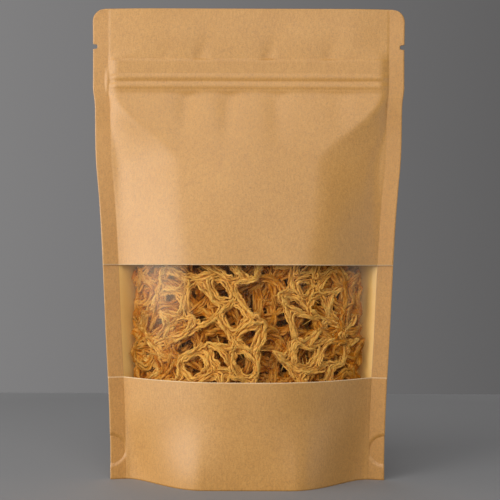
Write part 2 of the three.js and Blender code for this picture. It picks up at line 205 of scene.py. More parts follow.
MEETING_SPREAD = 5
FROND_COLUMNS = (-28, 28)
FROND_ROWS = (24, 84)

# More nets that only the looks have, in the same fronds. Numbers in threes are for the fronds that
# show in the window, for those right behind them, and for the rest
LEAST_DETAIL = 2  # place of the last of the three
UNDER_NETS = (2, 1, 0)  # right behind the main net
UNDER_PITCH = 1.05  # of the main net's pitch
UNDER_RADIUS = 1.7
UNDER_DEPTH = (0.72, 1.0)  # least and most, of the layer's depth
UNDER_OVERLAP = 8.0  # how far they reach into the next frond
FINE_NETS = (1, 2, 1)  # further in
FINE_PITCH = 0.65
FINE_RADIUS = 1.3
FINE_DEPTH = (0.45, 0.8)
FINE_OVERLAP = 5.0
LOOK_BREAK = 0.15
LOOK_WALL = 3.5  # they stay this far from the walls
LOOK_STEPS = 12
LOOK_ROWS = 7

# Filaments: a few loops of them run round each hole of a net, so that every strand is a bundle
MAIN_LOOPS = (5, 3, 2)
UNDER_LOOPS = (3, 2, 2)
FINE_LOOPS = (2, 1, 1)
MAIN_SAMPLES = (4, 3, 2)  # from the middle of one side of a hole to its corner
LOOK_SAMPLES = (3, 2, 2)
MAIN_SIDES = (6, 5, 4)
LOOK_SIDES = (4, 4, 4)
FILAMENT_THICK = 1.3  # of the distance between two loops
FILAMENT_SPREAD = (0.8, 1.2)  # least and most of that
CORNER_CUT = (0.03, 0.18)  # how far the outermost and innermost loops cut a hole's corners, in pitches
DEAD_END_TURN = 0.05  # how much of the old way on a loop keeps at a dead end
FULLNESS_SWING = 0.45  # strands are fuller in some places and thinner in others
FULLNESS_LENGTHS = (9.0, 7.0)
CRINKLES = ((9.0, 0.1), (4.5, 0.08), (2.3, 0.075))  # wave length, height in the strand's radii
WAVE_SPREAD = (0.75, 1.3)  # least and most of a wave length on one loop
TWIST_LENGTH = 16.0
TWIST_DEPTH = 0.32  # how far a loop winds from front to back, in the strand's radii
THICKNESS_SWING = 2.0  # of the crinkles
MAIN_SHADE_TONE = 1.0  # from amber at 0 to straw at 1; nets further in are lower, as painted shade
UNDER_SHADE_TONE = 0.42
FINE_SHADE_TONE = 0.25
LAYER_PAINTED_SHADE = 0.1  # painted shade: darker by this with each layer further back
TONE_SWING = 0.15
OUTER_LAYER = 0.5  # layers beyond this lie against a wall
PRESS_OUT = 0.6
WALL_PRESS = 0.8  # moss may come this much nearer to the walls than in the solids
FRILL_SPACING = 9.0
FRILL_REACH = (0.7, 2.2)
FRILL_THICK = (0.2, 0.38)
FRILL_AHEAD = 0.8  # shares of the reach, along the strand and into its hole
FRILL_INWARD = 0.6
FRILL_CURL = 0.55
FRILL_TAPER = 0.7
FRILL_PAINTED_LIGHT = 0.8  # painted light and shade, from a shaded groove at 0 to a lit crest at 1
FRILL_SIDES = 4
FRILL_SAMPLES = 5

# Colours of the materials, as 8-bit screen values
KRAFT_CLOUD = ((201, 143, 58), (210, 152, 67))
KRAFT_FLECKS = ((178, 120, 46), (206, 148, 68), (228, 176, 100))
CUT_EDGE_FIBRE = ((222, 186, 136), (240, 212, 170))
# Painted light: the lining is coloured brighter than the kraft to stand in for the light inside the pouch
LINING_PAINTED_LIGHT_CLOUD = ((250, 196, 110), (255, 206, 122))
ZIP_LINES = ((226, 220, 206), (242, 238, 228))
MOSS_PAINTED_CREST_LIGHT = ((178, 98, 10), (204, 126, 28), (238, 174, 82))  # painted shade and light, from a shaded groove to a lit crest
MOSS_TONE_AND_SHADE = ((156, 78, 4), (190, 116, 20), (248, 192, 100))  # from amber to straw: the moss's own tone, and painted shade on the nets further in

# Shades and tints, as shares of the light
UNTINTED = (1, 1, 1, 1)
KRAFT_SPECKLE = ((0.66, 0.61, 0.55), (1, 1, 1), (1.14, 1.14, 1.16))
KRAFT_SEAM = (0.985, 0.96, 0.9, 1)
FILM_TINT = (0.95, 0.76, 0.54, 1)
FILM_HAZE = 0.01
FILM_GLARE_ROUGHNESS = 4.5  # roughness for each share of painted glare
MOSS_STAIN = ((0.8, 0.7, 0.55), (1, 1, 1), (1.05, 1.05, 1.05))
MOSS_FLECKS = ((0.78, 0.7, 0.58), (1, 1, 1))
MOSS_GLOSS = (1, 0.7, 0.35, 1)
MOSS_GLOW = (1.0, 0.65, 0.3)  # how far red, green and blue light spread inside it
FLOOR_COLOURS = ((0.29, 0.29, 0.295), (0.92, 0.92, 0.93))  # near and far
WALL_COLOURS = ((0.94, 0.925, 0.93, 1), (0.46, 0.45, 0.452, 1))  # left and right

# Places of the papers' materials in their list
OUTER_FACE, CUT_EDGE, PAINTED_LIGHT_LINING = range(3)

# Places of the colour sockets on a mixing node
MIX_FIRST, MIX_SECOND, MIX_RESULT = 6, 7, 2

# Studio and camera, in metres
FLOOR_REACH = 4.0
FLOOR_BACK = 0.387  # far edge of the floor
FLOOR_FADE = 2500.0  # millimetres over which the floor's colour changes
WALL_TURN = 0.25  # how far to each side the wall's colour changes, for a direction of length 1
WALL_STRENGTH = 0.24
LIGHT_AIM = (0, 0, 0.12)
# Name, place, width and height, watts, and where it isn't plain, colour and spread in degrees
LIGHTS = (
    ("key", (-1.08, -1.03, 0.52), (0.8, 0.9), 10.3, (1, 0.98, 0.95)),
    ("side", (-0.98, -0.17, 0.19), (0.7, 0.26), 1.05, (1, 1, 1), 100),
    ("front", (0.14, -0.92, 0.56), (0.6, 0.5), 1.8),
    ("low", (0.3, -0.95, 0.16), (0.6, 0.2), 0.4),
    ("rim", (0.9, -0.3, 0.1), (0.4, 0.28), 0.75),
    ("back", (-0.3, 0.95, 0.8), (0.7, 0.6), 1.1),
    ("top", (-0.2, -0.95, 1.5), (0.8, 0.8), 5.6),
)
CAMERA_DISTANCE = 0.6
CAMERA_HEIGHT = 0.111
CAMERA_AIM = (0.001, 0, 0.1168)
CAMERA_FOV = math.radians(24.05)
CAMERA_ROLL = math.radians(0.2)


def smoothstep(low, high, value):
    share = np.clip((value - low) / (high - low), 0, 1)
    return share * share * (3 - 2 * share)


def mix(a, b, share):
    return a + (b - a) * share


def bell(value, middle, half_width):
    """A soft bump of height 1."""
    return np.exp(-(((value - middle) / half_width) ** 2))


def rise_and_fall(places, value):
    """From 0 up to 1 and down again, between four places."""
    start, full, still, end = places
    return smoothstep(start, full, value) * (1 - smoothstep(still, end, value))


# Pouch form


def panel_depth(z):
    """Distance of a panel's middle from the pouch's middle plane at height z."""
    body = np.clip(1 - (z / ZIP_HEIGHT) ** 2, 0, None)
    bulge = FLOOR_DEPTH * body**BULGE_POWER
    lips = mix(ZIP_DEPTH, MOUTH_DEPTH, smoothstep(ZIP_TAPE_TOP, POUCH_HEIGHT, z))
    return np.sqrt(bulge * bulge + lips * lips)


def zip_ridge(z):
    """How far the zip's lips stand out through the paper."""
    apart = [np.abs(z - height) for height in ZIP_RIDGES]
    return sum(ZIP_RIDGE_RISE * (1 - smoothstep(0, ZIP_RIDGE_HALF_WIDTH, gap)) for gap in apart)


def panel_share(t, z):
    """Share of the depth at the flat place t, from 0 on the middle line to 1 at a seam."""
    upper = smoothstep(SHOULDER_FOOT, SHOULDER_TOP, z)
    lower = smoothstep(SHOULDER_END, SHOULDER_FOOT, z)
    flat = mix(FLAT_AT_FOOT * lower, FLAT_AT_ZIP, upper)
    power = mix(ROUND_POWER, CREASE_POWER, lower)
    fall = np.clip((t - flat) / (1 - flat), 0, 1)
    return 1 - fall**power


def look_share(t, z):
    """The same in the looks: soft at the seams, flat in the foot's corners, creased at the shoulders."""
    upper = smoothstep(SHOULDER_FOOT, SHOULDER_TOP, z)
    creased = smoothstep(*CREASE_HEIGHTS, z)
    flat = mix(LOOK_FLAT * smoothstep(LOOK_FLAT_END, SHOULDER_FOOT, z), FLAT_AT_ZIP, upper)
    flat = mix(flat, FLAT_AT_MOUTH, smoothstep(ZIP_TAPE_TOP, ZIP_TAPE_TOP + MOUTH_FLAT_RISE, z))
    fall = np.clip((t - flat) / (1 - flat), 0, 1)
    crease = (1 - fall**CREASE_POWER) * smoothstep(0, mix(*SEAM_SOFT, upper), 1 - fall)
    share = mix((1 - fall**ROUND_POWER) ** LOOK_POWER, crease, creased)
    share = share * (1 - MIDDLE_ROUND * smoothstep(*ROUND_HEIGHTS, z) * (1 - upper) * t * t)
    foot = 1 - smoothstep(*FOOT_HEIGHTS, z)
    return mix(share, 1 - smoothstep(*FOOT_SPAN, t), foot)


def edge_at(z):
    """Half the flat width at height z, with the rounded top corners and the tear notches."""
    above = np.clip(z - (POUCH_HEIGHT - CORNER_RADIUS), 0, CORNER_RADIUS)
    corner = CORNER_RADIUS - np.sqrt(CORNER_RADIUS**2 - above**2)
    beside = np.clip(np.abs(z - NOTCH_HEIGHT) / NOTCH_HALF_WIDTH, 0, 1)
    notch = NOTCH_DEPTH * np.sqrt(1 - beside**NOTCH_POWER)
    return POUCH_WIDTH / 2 - corner - notch


def panel_columns():
    """Flat distances of a panel's columns from its middle line, seams included."""
    inner = np.linspace(-SEAM, SEAM, 2 * round(SEAM / COLUMN_STEP) + 1)
    step = SEAM - SEAM_STEP
    fin = np.linspace(SEAM, POUCH_WIDTH / 2, FIN_COLUMNS + 1)[1:]
    return np.concatenate([-fin[::-1], inner[:1], [-step], inner[1:-1], [step], inner[-1:], fin])


def panel_grid(heights, side):
    """Middle points of a panel, one row for each height, and the flat distance of each point.

    The side is -1 for the front and 1 for the back. Paper doesn't stretch, so the width follows from the
    depth along the arc.
    """
    arc = np.linspace(0, 1, ARC_PLACES)
    z = heights[:, None]
    depths = panel_depth(z) * panel_share(arc[None, :], z)
    along = SEAM / (len(arc) - 1)
    steps = np.sqrt(np.clip(along**2 - np.diff(depths, axis=1) ** 2, LEAST_ADVANCE, None))
    widths = np.concatenate([np.zeros((len(heights), 1)), np.cumsum(steps, axis=1)], axis=1)
    columns = panel_columns()
    shrink = (edge_at(heights) - SEAM) / SEAL_WIDTH
    outside = np.sign(columns) * np.clip(np.abs(columns) - SEAM, 0, None)
    flat = columns[None, :] - outside * (1 - shrink[:, None])
    past = np.clip(np.abs(flat) - SEAM, 0, None)
    within = np.minimum(np.abs(flat), SEAM) / SEAM
    x = np.empty_like(flat)
    for row, width in enumerate(widths):
        x[row] = np.sign(flat[row]) * (np.interp(within[row], arc, width) + past[row])
    share = look_share(within, z)
    lean = ZIP_LEAN * rise_and_fall(ZIP_LEAN_HEIGHTS, z)
    y = side * (panel_depth(z) + zip_ridge(z)) * share - lean * (1 - share)
    bend = FIN_BEND * (1 - smoothstep(*FIN_BEND_ENDS, z))
    y = y - bend * past
    grid = np.stack([x, y, np.broadcast_to(z, x.shape)], axis=-1)
    return grid, flat


# Creases and dents of the paper


def swells(a, z, places):
    return sum(rise * bell(a, x, width) * bell(z, height, tall) for x, width, height, tall, rise in places)


def ease_at_seams(a):
    """1 over most of a panel, and down to 0 at its seams."""
    return smoothstep(0, SEAM_EASE, SEAM - np.abs(a))


def front_relief(a, z):
    """How far the front paper stands out of its plain form, in millimetres."""
    relief = swells(a, z, FRONT_SWELLS)
    # The zip's tape, and the dents of the mouth from it upwards
    relief += TAPE_RISE * rise_and_fall(TAPE_HEIGHTS, z)
    dented = rise_and_fall(MOUTH_DENT_HEIGHTS, z)
    for middle, width, depth in MOUTH_DENTS:
        relief -= depth * bell(a, middle + MOUTH_DENT_LEAN * (z - ZIP_TAPE_TOP), width) * dented
    # Flutes hanging from the zip
    fluted = rise_and_fall(FLUTE_HEIGHTS, z)
    for middle, width, depth in FLUTES:
        relief -= depth * bell(a, middle * (1 + FLUTE_FAN * (ZIP_HEIGHT - z)), width) * fluted
    return relief * ease_at_seams(a) + swells(a, z, [ZIP_PINCH])


def back_relief(a, z):
    """The same for the back paper."""
    relief = swells(a, z, BACK_SWELLS)
    mouth = bell(z, BACK_FOLD_HEIGHT, BACK_FOLD_HALF_HEIGHT)
    fluted = rise_and_fall(BACK_FLUTE_HEIGHTS, z)
    for middle, width, depth in BACK_FOLDS:
        fold = bell(a, middle, width) * mouth
        flute = bell(a, middle + BACK_FLUTE_SHIFT, width) * fluted
        relief -= depth * (fold + flute)
    return relief * ease_at_seams(a)


def punch_press(a, z):
    """Half-round press marks at the foot of both side seams: how far they are pressed back."""
    from_middle = np.hypot(np.abs(a) - POUCH_WIDTH / 2, z - PUNCH_HEIGHT)
    return PUNCH_PRESS * (1 - smoothstep(PUNCH_RADIUS - PUNCH_EDGE, PUNCH_RADIUS, from_middle))


# Meshes


def add_to_scene(name, data):
    made = bpy.data.objects.new(name, data)
    bpy.context.collection.objects.link(made)
    return made


def make_object(name, verts, faces, materials, face_material=None, attributes=None):
    """A smooth mesh object from points in millimetres, riding on the part's body."""
    mesh = bpy.data.meshes.new(name)
    mesh.from_pydata((verts * MM).tolist(), [], faces)
    for material in materials:
        mesh.materials.append(material)
    if face_material is not None:
        mesh.polygons.foreach_set("material_index", face_material)
    mesh.polygons.foreach_set("use_smooth", np.ones(len(mesh.polygons), dtype=bool))
    for key, values in (attributes or {}).items():
        layer = mesh.attributes.new(key, "FLOAT", "POINT")
        layer.data.foreach_set("value", np.asarray(values, dtype=np.float32))
    mesh.update()
    piece = add_to_scene(name, mesh)
    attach(piece, "root")
    return piece


def grid_normals(grid):
    across = np.gradient(grid, axis=1)
    up = np.gradient(grid, axis=0)
    normal = np.cross(across, up)
    return normal / np.linalg.norm(normal, axis=-1, keepdims=True)


def quads(*corners):
    return np.stack(corners, axis=-1).reshape(-1, 4)


def sheet_mesh(grid, near, far):
    """Points and faces of a closed sheet around a grid; the last faces are its cut edges."""
    rows, columns = grid.shape[:2]
    normal = grid_normals(grid)
    verts = np.concatenate([(grid + out * normal).reshape(-1, 3) for out in (near, far)])
    index = np.arange(rows * columns).reshape(rows, columns)
    outer = index + rows * columns
    front = quads(outer[:-1, :-1], outer[:-1, 1:], outer[1:, 1:], outer[1:, :-1])
    back = quads(index[1:, :-1], index[1:, 1:], index[:-1, 1:], index[:-1, :-1])
    left = quads(index[:-1, 0], outer[:-1, 0], outer[1:, 0], index[1:, 0])
    right = quads(outer[:-1, -1], index[:-1, -1], index[1:, -1], outer[1:, -1])
    bottom = quads(index[0, 1:], outer[0, 1:], outer[0, :-1], index[0, :-1])
    top = quads(index[-1, :-1], outer[-1, :-1], outer[-1, 1:], index[-1, 1:])
    rims = np.concatenate([left, right, bottom, top])
    return verts, np.concatenate([front, back, rims]), len(rims)


def row_heights(low, high, step):
    """Heights of a panel's rows, with finer rows over the zip, notches and corners, and exact ends."""
    plain = np.linspace(low, high, round((high - low) / step) + 1)
    fine = [np.arange(start, end, gap) for start, end, gap in FINE_ROWS]
    for start, end, gap in FINE_ROWS:
        plain = plain[(plain < start - gap / 2) | (plain > end - gap / 2)]
    edges = [WINDOW_BOTTOM - EDGE_HIGHLIGHT_WIDTH, WINDOW_TOP + EDGE_HIGHLIGHT_WIDTH]
    every = np.concatenate([[low, high], plain, *fine, edges])
    heights = np.unique(np.round(every, HEIGHT_DIGITS))
    heights = heights[(heights >= low) & (heights <= high)]
    keep = np.concatenate([[True], np.diff(heights) > LEAST_ROW_GAP])
    keep[-1] = True
    return heights[keep]


def painted_edge_highlight_rows(heights):
    """Rows of a panel's outer face along the window, coloured as the cut edge: a painted highlight of the
    edge.
    """
    middles = (heights[1:] + heights[:-1]) / 2
    from_window = np.minimum(np.abs(middles - WINDOW_BOTTOM), np.abs(middles - WINDOW_TOP))
    return from_window < EDGE_HIGHLIGHT_WIDTH


def paper_panel(name, heights, side, relief, materials):
    """One paper of the pouch, with its dents, pressed seams and press marks."""
    grid, flat = panel_grid(heights, side)
    z = grid[..., 2]
    grid = grid + grid_normals(grid) * relief(flat, z)[..., None]
    seam = smoothstep(SEAM - SEAM_STEP, SEAM, np.abs(flat))
    grid[..., 1] += punch_press(flat, z) - side * SEAM_PRESS * seam
    if side > 0:
        grid = grid[:, ::-1]
        seam = seam[:, ::-1]
    verts, faces, rims = sheet_mesh(grid, PAPER_NEAR, PAPER_FAR)
    face_material = np.full(len(faces), OUTER_FACE, dtype=np.int32)
    face_material[-rims:] = CUT_EDGE
    layer = (len(faces) - rims) // 2
    # Painted highlight: on the front, a pale strip of cut-edge colour along the window's edges
    if side < 0:
        outer = face_material[:layer].reshape(len(heights) - 1, -1)
        outer[painted_edge_highlight_rows(heights)] = CUT_EDGE
    # Painted light: the inner faces of the body get the lining, coloured brighter to stand in for the
    # light inside the pouch
    inner = face_material[layer:-rims].reshape(len(heights) - 1, -1)
    inner[:, FIN_COLUMNS:-FIN_COLUMNS] = PAINTED_LIGHT_LINING
    shades = {"seam": np.tile(seam.reshape(-1), 2)}
    return make_object(name, verts, faces.tolist(), materials, face_material, shades)


def film_panel(name, heights, material):
    """The rippled window film, with its milky bands of painted glare."""
    grid, flat = panel_grid(heights, -1)
    z = grid[..., 2]
    ripple = sum(rise * np.sin(across * flat + up * z + phase) for rise, across, up, phase in FILM_RIPPLES)
    from_edge = np.minimum(z - WINDOW_BOTTOM, WINDOW_TOP - z)
    window = smoothstep(0, FILM_EDGE_EASE, from_edge)
    grid = grid + grid_normals(grid) * (ripple * ease_at_seams(flat) * window)[..., None]
    verts, faces, _ = sheet_mesh(grid, -FILM_HALF, FILM_HALF)
    painted_glare = sum(share * bell(flat, x, width) * smoothstep(*rise, z) for x, width, rise, share in FILM_GLARE_BANDS)
    shades = {"painted_glare": np.tile(painted_glare.reshape(-1), 2)}
    return make_object(name, verts, faces.tolist(), [material], None, shades)


def gusset_panel(name, material):
    """The bottom sheet: flat on the floor in the middle, folded up towards the seams."""
    columns = np.linspace(-GUSSET_SPAN * SEAM, GUSSET_SPAN * SEAM, GUSSET_COLUMNS)
    rows = np.sin(np.linspace(-math.pi / 2, math.pi / 2, GUSSET_ROWS))
    floor, _ = panel_grid(np.array([0.0]), 1)
    half_depth = np.interp(np.abs(columns), panel_columns(), floor[0, :, 1]) - GUSSET_INSET
    half_depth = np.maximum(half_depth, GUSSET_INSET)
    x = np.interp(columns, panel_columns(), floor[0, :, 0])
    rise = smoothstep(GUSSET_FLAT, GUSSET_RISE_END, np.abs(columns) / SEAM)
    v = rows[:, None]
    z = GUSSET_HALF + GUSSET_FOLD * rise[None, :] * np.sqrt(np.clip(1 - v * v, 0, 1))
    y = v * half_depth[None, :]
    grid = np.stack([np.broadcast_to(x[None, :], y.shape), y, z], axis=-1)
    verts, faces, _ = sheet_mesh(grid, -GUSSET_HALF, GUSSET_HALF)
    return make_object(name, verts, faces.tolist(), [material], None, {"seam": np.zeros(len(verts))})


# Moss nets


class Draws:
    """The same random numbers as in the solids."""

    def __init__(self, seed):
        self.state = seed

    def next(self):
        self.state = (self.state * DRAW_FACTOR + DRAW_STEP) % DRAW_RANGE
        return self.state / DRAW_RANGE

    def spread(self):
        return 2 * self.next() - 1


class Knot:
    """A place where strands of a net meet."""

    def __init__(self, place, step_kept, link_kept):
        self.place = place
        self.step_kept, self.link_kept = step_kept, link_kept
        self.joined = []


class Frond:
    """One quarter of a layer: the side and height where its nets may be."""

    def __init__(self, index, detail, right, upper, meeting_x, meeting_z):
        self.index, self.detail = index, detail
        self.layer = MOSS_LAYERS[index]
        self.right, self.upper = (1 if right else -1), (1 if upper else -1)
        self.x, self.z = FROND_COLUMNS[right], FROND_ROWS[upper]
        self.meeting_x, self.meeting_z = meeting_x, meeting_z
        self.nets = []

    def holds(self, x, z, clear):
        return self.right * (x - self.meeting_x) > clear and self.upper * (z - self.meeting_z) > clear


class Net:
    """What sets one net of a frond apart: its pitch, strands, breaks, size in knots and filaments."""

    def __init__(self, frond, pitch, radius, breaks, size, loops, samples, sides, tone):
        self.pitch, self.radius = pitch * NET_PITCHES[frond.index], radius
        self.strand_break, self.link_break = breaks
        self.steps, self.rows = size
        detail = frond.detail
        self.loops, self.samples, self.sides = loops[detail], samples[detail], sides[detail]
        # Painted shade: nets further in and layers further back get a darker tone
        self.tone = tone - LAYER_PAINTED_SHADE * frond.index
        self.knots = []


def room_at(x, z, power=1):
    """Half the depth that the pouch leaves for the moss; a higher power brings the walls closer."""
    width = MOSS_WIDTH + MOSS_WIDTH_RISE * z
    within = np.clip(1 - (x * x) / (width * width), 0, 1)
    return (MOSS_DEPTH - MOSS_DEPTH_FALL * z * z) * within**power - MOSS_WALL


def is_between_floor_and_top(x, z, radius):
    past = max(0, abs(x) - MOSS_PLEAT)
    floor = MOSS_FLOOR + MOSS_PLEAT_RISE * past * past
    return z - radius >= floor and z + radius < MOSS_TOP - MOSS_TOP_FALL * x * x


def layer_depth(layer, room, needed, sway):
    """Depth of a strand in its layer, swaying as far as the layer allows, or None without room."""
    half = LAYER_HALF * room
    if half >= needed:
        return layer * room + (half - needed) * sway
    if abs(layer) > 2 * LAYER_HALF and room >= 2 * needed:
        return math.copysign(room - needed, layer)
    return None


def look_depth(layer, room, depths, sway):
    """The same for a net that only the looks have, between a least and a most depth."""
    if room < LOOK_WALL:
        return None
    return layer * room * mix(*depths, 0.5 + 0.5 * sway)


def grow_net(draws, frond, net, clear, depths=None):
    """A turned, warped and jittered honeycomb: zigzag strands with a link at every second knot.

    clear is how far it stays off the next frond, or less than 0 where it reaches into it.
    """
    turn = NET_TURN * draws.spread()
    phases = (draws.next(), draws.next())
    jitter = NET_JITTER * net.pitch

    def wave(place, phase):
        return NET_WARP * math.sin(2 * math.pi * (place / NET_WARP_LENGTH + phase))

    knots = {}
    for j in range(-net.rows, net.rows + 1):
        for i in range(-net.steps, net.steps + 1):
            is_up = (i + j) % 2 == 0
            along = net.pitch * i / 2
            across = net.pitch * (ROW_RISE * j + (ZIGZAG if is_up else -ZIGZAG))
            plain_x = frond.x + along * math.cos(turn) - across * math.sin(turn) + jitter * draws.spread()
            plain_z = frond.z + along * math.sin(turn) + across * math.cos(turn) + jitter * draws.spread()
            x = plain_x + wave(plain_z, phases[0])
            z = plain_z + wave(plain_x, phases[1])
            sway = draws.spread()
            if depths:
                y = look_depth(frond.layer, room_at(x, z), depths, sway)
            else:
                y = layer_depth(frond.layer, room_at(x, z), net.radius + clear, sway)
            step_kept = draws.next() >= net.strand_break
            link_kept = draws.next() >= net.link_break
            inside = frond.holds(x, z, net.radius + clear) and is_between_floor_and_top(x, z, net.radius)
            if y is not None and inside:
                knots[i, j] = Knot((x, y, z), step_kept, link_kept and is_up)
    keep_largest_part(net, knots)
    frond.nets.append(net)


def keep_largest_part(net, knots):
    """Joins the knots by strands and links, and keeps the largest part that hangs together."""
    for (i, j), knot in knots.items():
        beside, above = knots.get((i + 1, j)), knots.get((i, j + 1))
        for other, is_kept in ((beside, knot.step_kept), (above, knot.link_kept)):
            if other and is_kept:
                knot.joined.append(other)
                other.joined.append(knot)
    seen, largest = set(), set()
    for first in knots.values():
        if first in seen:
            continue
        part, waiting = {first}, [first]
        while waiting:
            for knot in waiting.pop().joined:
                if knot not in part:
                    part.add(knot)
                    waiting.append(knot)
        seen |= part
        if len(part) > len(largest):
            largest = part
    net.knots = [knot for knot in knots.values() if knot in largest]


def main_net(frond):
    """A net that the solids have too."""
    breaks, size = (STRAND_BREAK, LINK_BREAK), (NET_STEPS, NET_ROWS)
    return Net(frond, 1, STRAND_RADIUS, breaks, size, MAIN_LOOPS, MAIN_SAMPLES, MAIN_SIDES, MAIN_SHADE_TONE)


def look_net(frond, pitch, radius, loops, tone):
    """A net that only the looks have."""
    breaks, size = (LOOK_BREAK, LOOK_BREAK), (LOOK_STEPS, LOOK_ROWS)
    return Net(frond, pitch, radius, breaks, size, loops, LOOK_SAMPLES, LOOK_SIDES, tone)


def grow_moss():
    """All fronds with their nets: first the nets of the solids, then those of the looks."""
    draws = Draws(MOSS_SEED)
    fronds = []
    for index in range(len(MOSS_LAYERS)):
        lower_x = MEETING_SPREAD * draws.spread()
        upper_x = lower_x + (-MEETING_OUT if index % 2 else MEETING_OUT)
        meeting_z = MEETING_HEIGHT + MEETING_SPREAD * draws.spread()
        for upper in (0, 1):
            for right in (0, 1):
                detail = min(index, LEAST_DETAIL) if upper else LEAST_DETAIL
                frond = Frond(index, detail, right, upper, upper_x if upper else lower_x, meeting_z)
                grow_net(draws, frond, main_net(frond), STRAND_GAP)
                fronds.append(frond)
    for frond in fronds:
        for _ in range(UNDER_NETS[frond.detail]):
            net = look_net(frond, UNDER_PITCH, UNDER_RADIUS, UNDER_LOOPS, UNDER_SHADE_TONE)
            grow_net(draws, frond, net, -UNDER_OVERLAP, UNDER_DEPTH)
        for _ in range(FINE_NETS[frond.detail]):
            net = look_net(frond, FINE_PITCH, FINE_RADIUS, FINE_LOOPS, FINE_SHADE_TONE)
            grow_net(draws, frond, net, -FINE_OVERLAP, FINE_DEPTH)
    return fronds


# Moss filaments


class Filaments:
    """Collects the rings of many filaments into one mesh, with two values for each point: painted crest
    light and shade, and the tone with painted shade deeper in.
    """

    def __init__(self):
        self.verts, self.faces, self.ridge, self.tone = [], [], [], []
        self.count = 0

    def add(self, rings, ridge, tone, is_loop):
        """rings is samples by sides by 3. A loop closes on itself; other ends are closed with a face."""
        samples, sides = rings.shape[:2]
        index = self.count + np.arange(samples * sides).reshape(samples, sides)
        turned = np.roll(index, -1, axis=1)
        faces = quads(index, turned, np.roll(turned, -1, axis=0), np.roll(index, -1, axis=0))
        if not is_loop:
            faces = faces[:-sides]
            self.faces.append(index[0, ::-1].tolist())
            self.faces.append(index[-1].tolist())
        self.faces.extend(faces.tolist())
        self.verts.append(rings.reshape(-1, 3))
        self.ridge.append(np.broadcast_to(ridge, (samples, sides)).reshape(-1))
        self.tone.append(np.full(samples * sides, tone))
        self.count += samples * sides

    def make(self, name, material):
        verts = np.concatenate(self.verts)
        shades = {"ridge": np.concatenate(self.ridge), "tone": np.concatenate(self.tone)}
        return make_object(name, verts, self.faces, [material], None, shades)


def bearing(knot, other):
    """Direction from one knot to another, as seen from the front."""
    return math.atan2(other.place[2] - knot.place[2], other.place[0] - knot.place[0])


def pressed_out(corners, layer):
    """Places of a net in an outer layer, pressed out towards its wall."""
    if abs(layer) < OUTER_LAYER:
        return corners
    room = room_at(corners[:, 0], corners[:, 2], LOOK_POWER) - STRAND_RADIUS
    out = corners.copy()
    out[:, 1] = mix(out[:, 1], np.copysign(np.maximum(room, 0), layer), PRESS_OUT)
    return out


def net_holes(net):
    """The holes of a net and its outside: rings of knots, each with the hole on its left."""
    turns = {knot: sorted(knot.joined, key=lambda other: bearing(knot, other)) for knot in net.knots}
    sides = [(knot, other) for knot in net.knots for other in knot.joined]
    waiting = set(sides)
    holes = []
    for knot, other in sides:
        ring = []
        while (knot, other) in waiting:
            waiting.remove((knot, other))
            ring.append(knot)
            ways = turns[other]
            knot, other = other, ways[ways.index(knot) - 1]
        if ring:
            holes.append(np.array([knot.place for knot in ring]))
    return holes


def unit(vectors):
    return vectors / np.linalg.norm(vectors, axis=-1, keepdims=True)


def loop_places(corners, inset, cut):
    """Places of a loop that runs inside a hole, by the middles of its sides and across its corners."""
    ends = np.roll(corners, -1, axis=0)
    along = unit((ends - corners)[:, [0, 2]])
    inward = np.stack([-along[:, 1], along[:, 0]], axis=1)
    along_next = np.roll(along, -1, axis=0)
    inward_next = np.roll(inward, -1, axis=0)
    turn = along[:, 0] * along_next[:, 1] - along[:, 1] * along_next[:, 0]
    # A dead end has no inward side, so there the loop goes round its tip
    out_of_corner = unit(inward + inward_next + DEAD_END_TURN * (along - along_next))
    middles = (corners + ends) / 2
    middles[:, [0, 2]] += inset(middles)[:, None] * inward
    bends = ends.copy()
    bends[:, [0, 2]] += (inset(ends) + cut * turn)[:, None] * out_of_corner
    return np.stack([middles, bends], axis=1).reshape(-1, 3)


def smooth_loop(places, samples):
    """A smooth closed curve through the places."""
    p0, p1, p2, p3 = (np.roll(places, shift, axis=0)[:, None, :] for shift in (1, 0, -1, -2))
    u = (np.arange(samples) / samples)[None, :, None]
    bend = (2 * p0 - 5 * p1 + 4 * p2 - p3) * u**2 + (3 * (p1 - p2) + p3 - p0) * u**3
    return (0.5 * (2 * p1 + (p2 - p0) * u + bend)).reshape(-1, 3)


def closed_wave(share, length, wave_length, rng):
    """A wave along a loop that meets itself again at the end."""
    waves = max(1, round(length / (wave_length * rng.uniform(*WAVE_SPREAD))))
    return np.sin(2 * math.pi * (waves * share + rng.uniform(0, 1)))


def crinkle(share, length, rng):
    """Small wandering along a loop, in the strand's radii."""
    return sum(height * closed_wave(share, length, wave, rng) for wave, height in CRINKLES)


def keep_off_walls(rings):
    """Presses what would reach into the walls back to them."""
    wall = np.maximum(room_at(rings[..., 0], rings[..., 2], LOOK_POWER) + WALL_PRESS, 0)
    rings[..., 1] = np.clip(rings[..., 1], -wall, wall)


def tube(path, side, other, thick, sides):
    """Rings round a path, of the given thickness at each of its places."""
    angle = np.linspace(0, 2 * math.pi, sides, endpoint=False)[None, :, None]
    return path[:, None, :] + thick[:, None, None] * (
        np.cos(angle) * side[:, None, :] + np.sin(angle) * other[:, None, :]
    )


